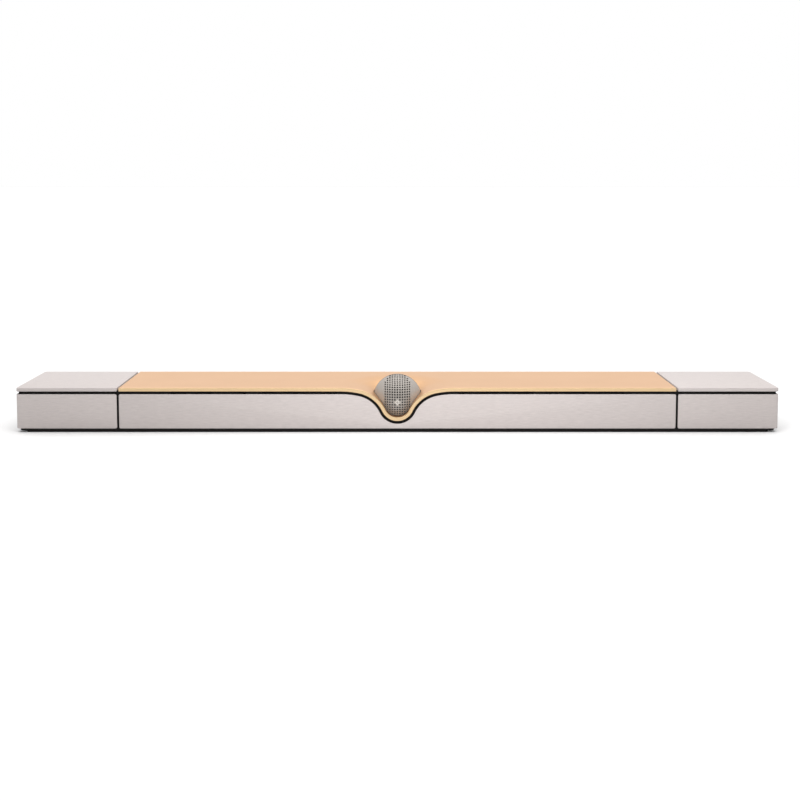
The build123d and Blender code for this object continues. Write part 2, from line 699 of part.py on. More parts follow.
all_woofers = []
for name, pair in woofers.items():
    save(name, *[driver.cone for driver in pair])
    all_woofers += pair
save("woofer_baskets", *[driver.basket for driver in all_woofers])
save("woofer_magnets", *[driver.magnet for driver in all_woofers])
save("woofer_surrounds", *[driver.surround for driver in all_woofers])


def make_woofer_box():
    """Sealed bass box of one side with a round hole for each woofer."""
    outer = block(BOX_X, (-BOX_HALF_DEPTH, BOX_HALF_DEPTH), BOX_Z)
    inner = block((BOX_X[0] + WALL, BOX_X[1] - WALL), (-BOX_HALF_DEPTH + WALL, BOX_HALF_DEPTH - WALL),
                  (BOX_Z[0] + WALL, BOX_Z[1] - WALL))
    shell = outer - inner
    hole = WOOFER.cone + 2 * WOOFER.roll + SHEET
    for x in WOOFER_XS:
        shell -= rod(hole, BOX_Z[0] - 1, BOX_Z[1] + 1, x)
    return shell


woofer_box = make_woofer_box()
save("right_woofer_box", woofer_box)
save("left_woofer_box", mirrored(woofer_box))


# ---------------------------------------------------------------- ball

BAND_HALF = 1.5
BAND_INNER = 33.0
PIN_RADIUS = 3.0
PIN_CLEARANCE = 0.05
PIN_X = (33.5, 45.5)
EAR_X = (40.5, 45.0)
EAR_RADIUS = 6.0
BUSH_RADIUS = 4.2
BALL_DRIVER_Y = -22.0
RING_RADIUS = 2.5
RING_WIRE = 0.55

BALL_PLACE = Pos(0, BALL_Y, BALL_Z)
pin_bar = Rot(0, 90, 0) * Cylinder(PIN_RADIUS, 2 * PIN_X[1])
pins = pin_bar - block((-PIN_X[0], PIN_X[0]), (-PIN_RADIUS, PIN_RADIUS), (-PIN_RADIUS, PIN_RADIUS))
ball_shell = Sphere(BALL_RADIUS) - Sphere(BALL_RADIUS - BALL_SHELL)
far = BALL_RADIUS + 1
front_half = block((-far, far), (-far, -BAND_HALF), (-far, far))
rear_half = block((-far, far), (BAND_HALF, far), (-far, far))
disc = Rot(90, 0, 0) * Cylinder(far, 2 * BAND_HALF)
band_room = Sphere(BALL_RADIUS) - Rot(90, 0, 0) * Cylinder(BAND_INNER, 2 * far)

emblem = Pos(0, -BALL_RADIUS + RING_WIRE / 2, 0) * Rot(90, 0, 0) * Torus(RING_RADIUS, RING_WIRE)
front_grille = (ball_shell & front_half) - pin_bar - emblem
save("ball_front_grille", BALL_PLACE * front_grille)
save("ball_rear_shell", BALL_PLACE * ((ball_shell & rear_half) - pin_bar))
save("ball_ring", BALL_PLACE * emblem)
save("ball_pins", BALL_PLACE * pins)


def make_mid_frame():
    """Ring between the ball's two halves, with a plate that carries the driver."""
    ring = (band_room & disc) - pin_bar
    collar_radius = 31.0
    collar = Rot(90, 0, 0) * Cylinder(collar_radius, -BALL_DRIVER_Y, align=(Align.CENTER, Align.CENTER, Align.MIN))
    collar -= Rot(90, 0, 0) * Cylinder(collar_radius - 2, 4 * far)
    seat = Pos(0, BALL_DRIVER_Y + FLANGE_THICKNESS, 0) * Rot(-90, 0, 0) * Cylinder(
        collar_radius - 1, 1.5, align=(Align.CENTER, Align.CENTER, Align.MIN))
    seat -= Rot(90, 0, 0) * Cylinder(DRIVER_PORT + 1, 4 * far)
    collar &= Sphere(BALL_RADIUS - BALL_SHELL - 0.2)
    web = (Rot(90, 0, 0) * Cylinder(BAND_INNER + 0.5, 2 * BAND_HALF)
           - Rot(90, 0, 0) * Cylinder(collar_radius - 2, 4 * far))
    return (ring + web + collar + seat) - pin_bar


save("ball_mid_frame", BALL_PLACE * make_mid_frame())
ball_driver = Driver(FULL_RANGE, BALL_PLACE * Pos(0, BALL_DRIVER_Y, 0) * FACING_FRONT)
save("ball_cone", ball_driver.cone)
save("ball_driver_basket", ball_driver.basket)
save("ball_driver_magnet", ball_driver.magnet)
save("ball_surround", ball_driver.surround)

ear_axis = Pos(0, BALL_Y, BALL_Z) * Rot(0, 90, 0)
LEG_HALF = 9.0
BEAM_HEIGHT = 8.0
BEAM_Y = (8.0, 13.0)


def make_cradle():
    """Bracket on the base: an ear each side of the ball, joined by a beam behind it."""
    cradle = block((-EAR_X[1], EAR_X[1]), BEAM_Y, (CORE_BOTTOM, CORE_BOTTOM + BEAM_HEIGHT))
    for sign in (-1, 1):
        x_range = tuple(sorted((sign * EAR_X[0], sign * EAR_X[1])))
        foot_range = tuple(sorted((sign * EAR_X[0], sign * (EAR_X[1] + 12))))
        cradle += block(x_range, (BALL_Y - LEG_HALF, BEAM_Y[1]), (CORE_BOTTOM, CORE_BOTTOM + BEAM_HEIGHT))
        cradle += block(foot_range, (BALL_Y - LEG_HALF, BALL_Y + LEG_HALF), (CORE_BOTTOM, CORE_BOTTOM + 2.5))
        cradle += block(x_range, (BALL_Y - EAR_RADIUS, BALL_Y + EAR_RADIUS), (CORE_BOTTOM, BALL_Z))
        middle = sign * (EAR_X[0] + EAR_X[1]) / 2
        cradle += Pos(middle, 0, 0) * ear_axis * Cylinder(EAR_RADIUS, EAR_X[1] - EAR_X[0])
    cradle -= ear_axis * Cylinder(BUSH_RADIUS, 4 * far)
    return cradle


def make_bushes():
    tube = Cylinder(BUSH_RADIUS, EAR_X[1] - EAR_X[0]) - Cylinder(PIN_RADIUS + PIN_CLEARANCE, 4 * far)
    middle = (EAR_X[0] + EAR_X[1]) / 2
    return [Pos(sign * middle, 0, 0) * ear_axis * tube for sign in (-1, 1)]


save("ball_cradle", make_cradle())
save("ball_bushes", *make_bushes())


# ---------------------------------------------------------------- electronics

def chips(spots, z):
    """Small blocks of (x, y, width, depth, height) standing on a board."""
    return [block((x - w / 2, x + w / 2), (y - d / 2, y + d / 2), (z, z + h)) for x, y, w, d, h in spots]


def board(x_range, y_range, z, parts):
    """Circuit board with its tall parts on it."""
    sheet = block(x_range, y_range, (z, z + BOARD_THICKNESS))
    for chip in chips(parts, z + BOARD_THICKNESS):
        sheet += chip
    return sheet


END_BAY = (374.0, 434.0)
supply_parts = [(-404, -44, 40, 34, 30), (-416, -8, 18, 18, 26), (-392, -8, 18, 18, 26),
                (-404, 22, 44, 20, 18), (-404, 50, 36, 14, 14)]
amp_parts = [(404, 44, 14, 14, 12), (386, 44, 14, 14, 12), (422, 44, 14, 14, 12), (404, 60, 50, 8, 10)]
main_parts = [(0, 30, 22, 22, 2), (-38, 28, 14, 14, 2), (36, 26, 16, 16, 2), (36, 46, 10, 8, 4)]
save("power_supply_board", board((-END_BAY[1], -END_BAY[0]), (-66, 66), TALL_BOARD_Z, supply_parts))
save("amplifier_board", board(END_BAY, (-66, 66), TALL_BOARD_Z, amp_parts))
save("main_board", board((-70, 70), (18, BAY_BACK_Y - BAY_WALL - 0.2), BOARD_Z, main_parts))


SINK_X = (377.0, 431.0)
SINK_Y = (-60.0, 28.0)
SINK_BASE_HEIGHT = 5.0
FIN_HEIGHT = 25.0
FIN_WIDTH = 2.0
FIN_COUNT = 9


def make_heatsink():
    """Finned heat sink over the amplifier."""
    low = TALL_BOARD_Z + BOARD_THICKNESS
    top = low + SINK_BASE_HEIGHT
    sink = block(SINK_X, SINK_Y, (low, top))
    pitch = (SINK_X[1] - SINK_X[0] - FIN_WIDTH) / (FIN_COUNT - 1)
    for index in range(FIN_COUNT):
        x = SINK_X[0] + index * pitch
        sink += block((x, x + FIN_WIDTH), SINK_Y, (top, top + FIN_HEIGHT))
    return sink


save("amplifier_heatsink", make_heatsink())
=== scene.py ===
import json
import math

import bmesh
import bpy
from mathutils import Matrix, Vector


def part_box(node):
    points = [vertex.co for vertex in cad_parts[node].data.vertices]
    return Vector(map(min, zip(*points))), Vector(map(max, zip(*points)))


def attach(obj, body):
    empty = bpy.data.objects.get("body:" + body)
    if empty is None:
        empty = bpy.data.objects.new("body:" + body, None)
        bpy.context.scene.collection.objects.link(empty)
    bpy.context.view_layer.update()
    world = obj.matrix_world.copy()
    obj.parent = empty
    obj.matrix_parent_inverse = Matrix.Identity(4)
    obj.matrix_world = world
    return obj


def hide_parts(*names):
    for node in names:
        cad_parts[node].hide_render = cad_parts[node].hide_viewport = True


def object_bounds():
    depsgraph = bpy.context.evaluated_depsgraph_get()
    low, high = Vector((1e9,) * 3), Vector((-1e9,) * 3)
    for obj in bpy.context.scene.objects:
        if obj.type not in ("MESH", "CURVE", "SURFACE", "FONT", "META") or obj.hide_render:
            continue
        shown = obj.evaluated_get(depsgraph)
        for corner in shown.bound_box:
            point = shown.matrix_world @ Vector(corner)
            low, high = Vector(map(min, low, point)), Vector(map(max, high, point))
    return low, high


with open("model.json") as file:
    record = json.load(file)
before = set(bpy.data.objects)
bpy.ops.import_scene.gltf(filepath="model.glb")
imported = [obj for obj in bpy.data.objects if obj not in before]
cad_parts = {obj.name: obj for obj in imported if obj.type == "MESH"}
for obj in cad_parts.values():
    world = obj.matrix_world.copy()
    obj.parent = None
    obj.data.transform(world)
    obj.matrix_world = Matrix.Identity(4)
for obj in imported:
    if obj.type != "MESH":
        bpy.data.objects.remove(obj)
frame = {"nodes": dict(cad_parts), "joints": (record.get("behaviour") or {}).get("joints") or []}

# A cloth-covered soundbar with a gold-coated metal plate and a turning loudspeaker ball.
# Metres, in the model's own frame: X along the bar, -Y to the listener, Z up.

cad_low, cad_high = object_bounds()
MM = 0.001

HALF_LENGTH = cad_high.x
HALF_DEPTH = cad_high.y
GRILLE_LOW, GRILLE_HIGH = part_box("centre_grille_cloth")
END_LOW, END_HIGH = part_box("right_grille_cloth")
TOP_LOW, TOP_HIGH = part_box("right_top_cloth")
BALL = Vector(next(j["pos_m"] for j in frame["joints"] if j["name"] == "ball_turn"))
BALL_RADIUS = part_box("ball_rear_shell")[1].y - BALL.y

CORNER_RADIUS = 5 * MM
PANEL_CORNER = 2.5 * MM
CLOTH_EDGE = 1.0 * MM
CLOTH_THICKNESS = 0.5 * MM
TURN_IN = 1.4 * MM
SAME_PLACE = 1e-6
NEARLY_SAME_PLACE = 2e-5

# The valley curve of the plate's underside: hollow arc, flank, two rounded arcs
HOLLOW_RADIUS = 26.2 * MM
FLANK_ANGLE = math.radians(62.85)
FLANK_LENGTH = 3.03 * MM
FLANK_RADIUS = 51.9 * MM
SHOULDER_ANGLE = math.radians(12.42)
SHOULDER_RADIUS = 135.1 * MM
PLATE_BOTTOM = 64.7 * MM


# ------------------------------------------------------------------ shader helpers

def colour(code):
    """An sRGB hex colour as linear red, green, blue and alpha."""
    channels = [int(code[i:i + 2], 16) / 255 for i in (0, 2, 4)]
    return [c / 12.92 if c <= 0.04045 else ((c + 0.055) / 1.055) ** 2.4 for c in channels] + [1.0]


def add(tree, kind, inputs=None, **settings):
    """Adds one shader node. An input is a value, or another node's output socket to link from."""
    made = tree.nodes.new(kind)
    for name, value in settings.items():
        setattr(made, name, value)
    for name, value in (inputs or {}).items():
        if isinstance(value, bpy.types.NodeSocket):
            tree.links.new(value, made.inputs[name])
        else:
            made.inputs[name].default_value = value
    return made


def surface(name, **values):
    """A new material with one Principled shader. Returns the material, its tree and the shader."""
    made = bpy.data.materials.new(name)
    made.use_nodes = True
    tree = made.node_tree
    shader = tree.nodes["Principled BSDF"]
    for key, value in values.items():
        shader.inputs[key.replace("_", " ")].default_value = value
    return made, tree, shader


def mixed(tree, factor, low, high):
    """Colour between two hex colours, by a factor socket."""
    ramp = add(tree, "ShaderNodeMix", {"Factor": factor}, data_type="RGBA")
    ramp.inputs[6].default_value = colour(low)
    ramp.inputs[7].default_value = colour(high)
    return ramp.outputs[2]


def between(tree, factor, low, high):
    """A number from low to high, by a factor socket that runs from 0 to 1."""
    ranged = add(tree, "ShaderNodeMapRange", {"Value": factor, "To Min": low, "To Max": high})
    return ranged.outputs["Result"]


def noise(tree, size, detail=3.0, stretch=(1, 1, 1)):
    """Noise on Object coordinates whose blobs are about size metres across."""
    place = add(tree, "ShaderNodeTexCoord").outputs["Object"]
    scale = [1 / (size * s) for s in stretch]
    mapped = add(tree, "ShaderNodeMapping", {"Vector": place, "Scale": scale}).outputs["Vector"]
    return add(tree, "ShaderNodeTexNoise", {"Vector": mapped, "Scale": 1.0, "Detail": detail}).outputs["Fac"]


def bump(tree, shader, height, distance, strength=1.0):
    """Raises the surface by a height socket times distance, in metres."""
    made = add(tree, "ShaderNodeBump", {"Height": height, "Distance": distance, "Strength": strength})
    tree.links.new(made.outputs["Normal"], shader.inputs["Normal"])


# ------------------------------------------------------------------ materials

def gold_coated_aluminium():
    """Bead-blasted aluminium under a warm gold coat: satin, with painted light that makes the faces looking
    along -Y, the plate's front edge, paler.
    """
    made, tree, shader = surface("gold_coated_aluminium", Metallic=1.0)
    cloud = noise(tree, 60 * MM, 2.0)
    # blasted grain is 0.1 mm; 0.7 mm shows at this distance
    grain = noise(tree, 0.7 * MM, 2.0)
    # painted light: the faces that look along -Y, the plate's front edge, are painted a paler gold
    facing = add(tree, "ShaderNodeTexCoord").outputs["Normal"]
    forward = add(tree, "ShaderNodeSeparateXYZ", {"Vector": facing}).outputs["Y"]
    edge = add(tree, "ShaderNodeMapRange", {"Value": forward, "From Min": -0.3, "From Max": -0.7})
    coat_and_painted_light = add(tree, "ShaderNodeMix", {"Factor": edge.outputs["Result"]}, data_type="RGBA")
    tree.links.new(mixed(tree, cloud, "DAAE82", "E0B489"), coat_and_painted_light.inputs[6])
    # painted light: the paler gold of the front edge
    coat_and_painted_light.inputs[7].default_value = colour("DFC299")
    tree.links.new(coat_and_painted_light.outputs[2], shader.inputs["Base Color"])
    tree.links.new(between(tree, grain, 0.36, 0.44), shader.inputs["Roughness"])
    bump(tree, shader, grain, 0.01 * MM)
    return made


def woven_cloth(name, dark, light):
    """Plain-woven acoustic polyester: heathered yarns, matte with a faint sheen at the edges."""
    made, tree, shader = surface(name, Roughness=0.88, Sheen_Weight=0.1, Sheen_Roughness=0.5)
    # yarns are 0.4 mm apart; 1.1 mm shows at this distance
    yarn = 1.1 * MM
    uv = add(tree, "ShaderNodeUVMap", uv_map="cloth").outputs["UV"]
    waves = []
    for direction in ("X", "Y"):
        waves.append(add(tree, "ShaderNodeTexWave", {"Vector": uv, "Scale": math.pi / (10 * yarn),
                                                     "Distortion": 0.6, "Detail": 1.0, "Detail Scale": 3.0},
                         wave_type="BANDS", bands_direction=direction).outputs["Fac"])
    weave = add(tree, "ShaderNodeMath", {0: waves[0], 1: waves[1]}, operation="MULTIPLY").outputs["Value"]
    # slubs: short lengths of thicker, darker yarn that run along the bar
    streak_map = add(tree, "ShaderNodeMapping", {"Vector": uv, "Scale": (1 / (14 * MM), 1 / (1.2 * MM), 1)})
    streak = add(tree, "ShaderNodeTexNoise", {"Vector": streak_map.outputs["Vector"], "Scale": 1.0,
                                              "Detail": 3.0, "Roughness": 0.7}).outputs["Fac"]
    tone = add(tree, "ShaderNodeMath", {0: weave, 1: 0.45}, operation="MULTIPLY").outputs["Value"]
    tone = add(tree, "ShaderNodeMath", {0: streak, 1: tone}, operation="ADD").outputs["Value"]
    tone = add(tree, "ShaderNodeMapRange", {"Value": tone, "From Min": 0.35, "From Max": 0.95})
    tree.links.new(mixed(tree, tone.outputs["Result"], dark, light), shader.inputs["Base Color"])
    bump(tree, shader, weave, 0.12 * MM, 0.6)
    return made


def moulded_abs(name="moulded_black_abs", low="0B0A09", high="12100F"):
    """Injection-moulded ABS with a fine spark-eroded texture, so it barely shines."""
    made, tree, shader = surface(name, Roughness=0.6, Specular_IOR_Level=0.15)
    grain = noise(tree, 0.6 * MM, 2.0)
    tree.links.new(mixed(tree, noise(tree, 25 * MM), low, high), shader.inputs["Base Color"])
    tree.links.new(between(tree, grain, 0.5, 0.7), shader.inputs["Roughness"])
    bump(tree, shader, grain, 0.03 * MM)
    return made


def powder_coat():
    """Black powder coat on steel: slightly glossy with orange peel."""
    made, tree, shader = surface("black_powder_coat", Roughness=0.5, Specular_IOR_Level=0.2)
    peel = noise(tree, 1.2 * MM, 1.0)
    tree.links.new(mixed(tree, noise(tree, 40 * MM), "0D0B0A", "141110"), shader.inputs["Base Color"])
    bump(tree, shader, peel, 0.04 * MM)
    return made


def rubber(name="natural_rubber"):
    """Dull black rubber with a dusty bloom."""
    made, tree, shader = surface(name, Roughness=0.85, Specular_IOR_Level=0.15)
    tree.links.new(mixed(tree, noise(tree, 8 * MM), "0E0D0C", "1B1918"), shader.inputs["Base Color"])
    bump(tree, shader, noise(tree, 0.5 * MM), 0.03 * MM)
    return made


def painted_steel():
    """Warm grey satin paint with a fine metallic flake on pressed steel."""
    made, tree, shader = surface("satin_grey_paint", Metallic=0.3)
    flake = noise(tree, 0.4 * MM, 1.0)
    tree.links.new(mixed(tree, flake, "928C86", "A39D97"), shader.inputs["Base Color"])
    tree.links.new(between(tree, flake, 0.38, 0.5), shader.inputs["Roughness"])
    bump(tree, shader, flake, 0.008 * MM)
    return made


def bare_metal(name, low, high, roughness, grain=0.5, stretch=(1, 1, 1), metallic=1.0):
    """Metal with a fine grain or brushing; a lower metallic is a pearl-like satin plating."""
    made, tree, shader = surface(name, Metallic=metallic)
    marks = noise(tree, grain * MM, 2.0, stretch)
    tree.links.new(mixed(tree, marks, low, high), shader.inputs["Base Color"])
    tree.links.new(between(tree, marks, roughness - 0.06, roughness + 0.08), shader.inputs["Roughness"])
    return made


def circuit_board():
    """Glass-fibre board under green solder resist, with the copper tracks showing through."""
    made, tree, shader = surface("solder_resist", Roughness=0.35)
    place = add(tree, "ShaderNodeTexCoord").outputs["Object"]
    tracks = add(tree, "ShaderNodeTexBrick", {"Vector": place, "Scale": 1 / (14 * MM), "Mortar Size": 0.03,
                                              "Color1": colour("0F3B22"), "Color2": colour("134A2B"),
                                              "Mortar": colour("2C7A4A")}, offset=0.37)
    tree.links.new(tracks.outputs["Color"], shader.inputs["Base Color"])
    bump(tree, shader, tracks.outputs["Fac"], 0.03 * MM)
    return made


GOLD = gold_coated_aluminium()
CLOTH = woven_cloth("woven_pale_polyester", "ADA5A3", "C3BBB8")
DUST_CLOTH = woven_cloth("woven_black_polyester", "060606", "0C0C0C")
ABS = moulded_abs()
FRAME_ABS = moulded_abs("moulded_frame_abs", "0D0B0A", "151210")
STEEL_BLACK = powder_coat()
FOOT = rubber()
ROLL = rubber("butyl_rubber")
PAINT = painted_steel()
NICKEL = bare_metal("nickel_plate", "A8A49E", "BDB9B2", 0.25)
CHROME = bare_metal("pearl_chrome", "D4D1CB", "E0DDD7", 0.3, metallic=0.35)
STEEL = bare_metal("pressed_steel", "85868A", "989A9E", 0.35)
FERRITE = moulded_abs("sintered_ferrite", "1A1A1C", "26262A")
CONE = bare_metal("spun_aluminium", "9EA0A3", "B4B6B8", 0.3, 0.4, (6, 6, 1))
BRASS = bare_metal("turned_brass", "B8914E", "CBA561", 0.28, 0.3, (1, 1, 4))
ACETAL = moulded_abs("acetal", "D8D6D0", "E4E2DC")
BOARD = circuit_board()
HEATSINK = bare_metal("anodised_aluminium", "4A4B4F", "585A5E", 0.45, 0.6, (1, 12, 1))

NODE_MATERIALS = {
    "top_plate": GOLD, "base_plate": STEEL_BLACK, "foot_runners": FOOT, "wall_inserts": BRASS,
    "case_screws": STEEL_BLACK, "video_socket": NICKEL, "network_socket": NICKEL, "ball_rear_shell": PAINT,
    "ball_front_grille": PAINT, "ball_ring": CHROME, "ball_pins": STEEL, "ball_bushes": ACETAL,
    "power_supply_board": BOARD, "amplifier_board": BOARD, "main_board": BOARD,
    "amplifier_heatsink": HEATSINK,
}


def node_material(name):
    """The material of a CAD node, by its own name or by what kind of piece it is."""
    if name in NODE_MATERIALS:
        return NODE_MATERIALS[name]
    kinds = (("_cloth", CLOTH), ("grille_frame", FRAME_ABS), ("top_frame", FRAME_ABS), ("surround", ROLL),
             ("cone", CONE), ("basket", STEEL), ("magnet", FERRITE))
    for part, made in kinds:
        if part in name:
            return made
    return ABS


for name, obj in frame["nodes"].items():
    obj.data.materials.clear()
    obj.data.materials.append(node_material(name))


# ------------------------------------------------------------------ mesh helpers

def finish_piece(name, bm, body, material, smooth_angle=35):
    """Turns a bmesh into a piece that rides on a body."""
    mesh = bpy.data.meshes.new(name)
    bm.to_mesh(mesh)
    bm.free()
    mesh.materials.append(material)
    mesh.shade_smooth()
    mesh.set_sharp_from_angle(angle=math.radians(smooth_angle))
    obj = bpy.data.objects.new(name, mesh)
    bpy.context.scene.collection.objects.link(obj)
    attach(obj, body)
    return obj


def run_to(bm, vert, point):
    """Draws a straight edge from a vertex to a point and returns the new vertex."""
    made = bmesh.ops.extrude_vert_indiv(bm, verts=[vert])["verts"][0]
    made.co = Vector(point)
    return made


def swing(bm, vert, centre, axis, degrees, steps):
    """Draws an arc from a vertex about a centre and returns its last vertex."""
    made = bmesh.ops.spin(bm, geom=[vert], cent=Vector(centre), axis=Vector(axis), dvec=(0, 0, 0),
                          angle=math.radians(degrees), steps=steps, use_duplicate=False)
    return [g for g in made["geom_last"] if isinstance(g, bmesh.types.BMVert)][0]


def fold_uv(bm):
    """Lays the cloth's thread directions on the mesh, in metres: u along the bar or its end, v across."""
    layer = bm.loops.layers.uv.new("cloth")
    for face in bm.faces:
        normal = face.normal
        flat = abs(normal.z) > 0.7
        side = abs(normal.x) > abs(normal.y)
        for loop in face.loops:
            x, y, z = loop.vert.co
            along = y if side and not flat else x
            loop[layer].uv = (along, y if flat else z)


def across(bm):
    """Mirrors a finished bmesh to the bar's other side."""
    bmesh.ops.scale(bm, vec=(-1, 1, 1), verts=bm.verts)
    bmesh.ops.recalc_face_normals(bm, faces=bm.faces)


# ------------------------------------------------------------------ cloth covers

def valley_half(bm, offset, y):
    """Draws the right half of the valley curve, offset below the plate, out to its last vertex."""
    hollow = HOLLOW_RADIUS + offset
    flank = FLANK_RADIUS - offset
    shoulder = SHOULDER_RADIUS - offset
    turn = math.degrees(FLANK_ANGLE)
    ease = math.degrees(SHOULDER_ANGLE)
    hollow_z = (PLATE_BOTTOM - SHOULDER_RADIUS + (HOLLOW_RADIUS + FLANK_RADIUS) * math.cos(FLANK_ANGLE)
                - FLANK_LENGTH * math.sin(FLANK_ANGLE)
                + (SHOULDER_RADIUS - FLANK_RADIUS) * math.cos(SHOULDER_ANGLE))
    start = bm.verts.new((0, y, hollow_z - hollow))
    low = swing(bm, start, (0, y, hollow_z), (0, -1, 0), turn, 20)
    along = Vector((math.cos(FLANK_ANGLE), 0, math.sin(FLANK_ANGLE)))
    inward = Vector((math.sin(FLANK_ANGLE), 0, -math.cos(FLANK_ANGLE)))
    high = run_to(bm, low, low.co + along * FLANK_LENGTH)
    join = swing(bm, high, high.co + inward * flank, (0, 1, 0), turn - ease, 22)
    inward = Vector((math.sin(SHOULDER_ANGLE), 0, -math.cos(SHOULDER_ANGLE)))
    end = swing(bm, join, join.co + inward * shoulder, (0, 1, 0), ease, 8)
    return end


def fill(bm):
    """Fills the one closed loop of edges with a face."""
    bmesh.ops.remove_doubles(bm, verts=bm.verts, dist=SAME_PLACE)
    return bmesh.ops.contextual_create(bm, geom=bm.edges)["faces"][0]


def round_over(bm, edges, radius=CLOTH_EDGE, segments=3):
    """Rounds edges over."""
    bmesh.ops.bevel(bm, geom=edges, offset=radius, segments=segments, profile=0.5,
                    affect="EDGES", material=-1)


def make_centre_cloth():
    """One cut of cloth over the front grille, turned in over its four edges and round the valley."""
    front = GRILLE_LOW.y
    half = GRILLE_HIGH.x
    top = GRILLE_HIGH.z
    low = GRILLE_LOW.z
    corner = PANEL_CORNER
    bm = bmesh.new()
    vert = valley_half(bm, PLATE_BOTTOM - top, front)
    vert = run_to(bm, vert, (half - corner, front, top))
    vert = swing(bm, vert, (half - corner, front, top - corner), (0, 1, 0), 90, 5)
    vert = run_to(bm, vert, (half, front, low + corner))
    vert = swing(bm, vert, (half - corner, front, low + corner), (0, 1, 0), 90, 5)
    run_to(bm, vert, (0, front, low))
    bmesh.ops.mirror(bm, geom=bm.verts[:] + bm.edges[:], axis="X", merge_dist=SAME_PLACE)
    face = fill(bm)
    if face.normal.y > 0:
        face.normal_flip()
    made = bmesh.ops.extrude_face_region(bm, geom=[face])
    kept = {g for g in made["geom"] if isinstance(g, bmesh.types.BMVert)}
    back = [v for v in bm.verts if v not in kept]
    bmesh.ops.translate(bm, vec=(0, TURN_IN, 0), verts=back)
    bmesh.ops.recalc_face_normals(bm, faces=bm.faces)
    round_over(bm, [e for e in bm.edges if all(abs(v.co.y - front) < SAME_PLACE for v in e.verts)])
    hidden = [f for f in bm.faces if f.normal.y > 0.9]
    bmesh.ops.delete(bm, geom=hidden, context="FACES")
    fold_uv(bm)
    return bm


def end_path(bm, x_start, z):
    """Draws an end section's plan outline: front, end and back, round two corners."""
    corner_x = HALF_LENGTH - CORNER_RADIUS
    corner_y = HALF_DEPTH - CORNER_RADIUS
    start = bm.verts.new((x_start, -HALF_DEPTH, z))
    vert = run_to(bm, start, (corner_x, -HALF_DEPTH, z))
    vert = swing(bm, vert, (corner_x, -corner_y, z), (0, 0, 1), 90, 10)
    vert = run_to(bm, vert, (HALF_LENGTH, corner_y, z))
    vert = swing(bm, vert, (corner_x, corner_y, z), (0, 0, 1), 90, 10)
    return start, run_to(bm, vert, (x_start, HALF_DEPTH, z))


def from_outside(vert):
    """How far a vertex lies inside the end section's outer wall."""
    over_x = max(0, abs(vert.co.x) - (HALF_LENGTH - CORNER_RADIUS))
    over_y = max(0, abs(vert.co.y) - (HALF_DEPTH - CORNER_RADIUS))
    return CORNER_RADIUS - math.hypot(over_x, over_y)


def make_end_cloth():
    """Cloth round one end: front, side and back in one strip, turned in at its edges."""
    start_x = END_LOW.x
    bm = bmesh.new()
    end_path(bm, start_x, END_LOW.z)
    made = bmesh.ops.extrude_edge_only(bm, edges=bm.edges[:])
    raised = [g for g in made["geom"] if isinstance(g, bmesh.types.BMVert)]
    bmesh.ops.translate(bm, vec=(0, 0, END_HIGH.z - END_LOW.z), verts=raised)
    bmesh.ops.recalc_face_normals(bm, faces=bm.faces)
    front_face = min(bm.faces, key=lambda f: f.calc_center_median().y)
    if front_face.normal.y > 0:
        bmesh.ops.reverse_faces(bm, faces=bm.faces)
    bmesh.ops.solidify(bm, geom=bm.faces[:], thickness=TURN_IN)
    bmesh.ops.recalc_face_normals(bm, faces=bm.faces)
    corners = [e for e in bm.edges
               if all(abs(v.co.x - start_x) < SAME_PLACE for v in e.verts)
               and abs(e.verts[0].co.z - e.verts[1].co.z) < SAME_PLACE]
    round_over(bm, corners, PANEL_CORNER, 5)
    rims = [e for e in bm.edges
            if all(abs(from_outside(v)) < NEARLY_SAME_PLACE for v in e.verts)
            and len(e.link_faces) == 2 and e.calc_face_angle(0) > math.radians(60)]
    round_over(bm, rims)
    inner_wall = TURN_IN - NEARLY_SAME_PLACE
    hidden = [f for f in bm.faces if all(from_outside(v) > inner_wall for v in f.verts)]
    bmesh.ops.delete(bm, geom=hidden, context="FACES")
    fold_uv(bm)
    return bm


def make_top_cloth():
    """Cloth over one end's top panel, turned down over all its edges."""
    start_x = TOP_LOW.x
    bm = bmesh.new()
    start, end = end_path(bm, start_x, TOP_HIGH.z)
    bm.edges.new((end, start))
    face = fill(bm)
    if face.normal.z < 0:
        face.normal_flip()
    made = bmesh.ops.extrude_face_region(bm, geom=[face])
    moved = [g for g in made["geom"] if isinstance(g, bmesh.types.BMVert)]
    bmesh.ops.translate(bm, vec=(0, 0, TOP_LOW.z - TOP_HIGH.z), verts=moved)
    bmesh.ops.recalc_face_normals(bm, faces=bm.faces)
    round_over(bm, [e for e in bm.edges if abs(e.verts[0].co.z - e.verts[1].co.z) < SAME_PLACE])
    hidden = [f for f in bm.faces if f.normal.z < -0.9]
    bmesh.ops.delete(bm, geom=hidden, context="FACES")
    fold_uv(bm)
    return bm


def cover(name, bm, node):
    """Finishes one cloth cover: gives it a thickness and hides its CAD skin."""
    obj = finish_piece(name, bm, "case", CLOTH)
    thick = obj.modifiers.new("cloth thickness", "SOLIDIFY")
    thick.thickness = CLOTH_THICKNESS
    thick.offset = -1
    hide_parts(node)


cover("centre_cloth", make_centre_cloth(), "centre_grille_cloth")
for side in ("right", "left"):
    strip = make_end_cloth()
    lid = make_top_cloth()
    if side == "left":
        across(strip)
        across(lid)
    cover(f"{side}_end_cloth", strip, f"{side}_grille_cloth")
    cover(f"{side}_lid_cloth", lid, f"{side}_top_cloth")


# ------------------------------------------------------------------ perforated ball

HOLE_PITCH = 4.05 * MM
HOLE = 2.6 * MM
HOLE_COLUMNS = 5
HOLE_ROWS = 12
SHELL = 1.4 * MM
PUNCHED_HALF_WIDTH = 27 * MM
PUNCHED_HALF_HEIGHT = 42 * MM
DUST_CLOTH_RADIUS = BALL_RADIUS - 2.0 * MM
DUST_CLOTH_BACK = BALL.y - 20.5 * MM
DUST_CLOTH_THICKNESS = 0.3 * MM


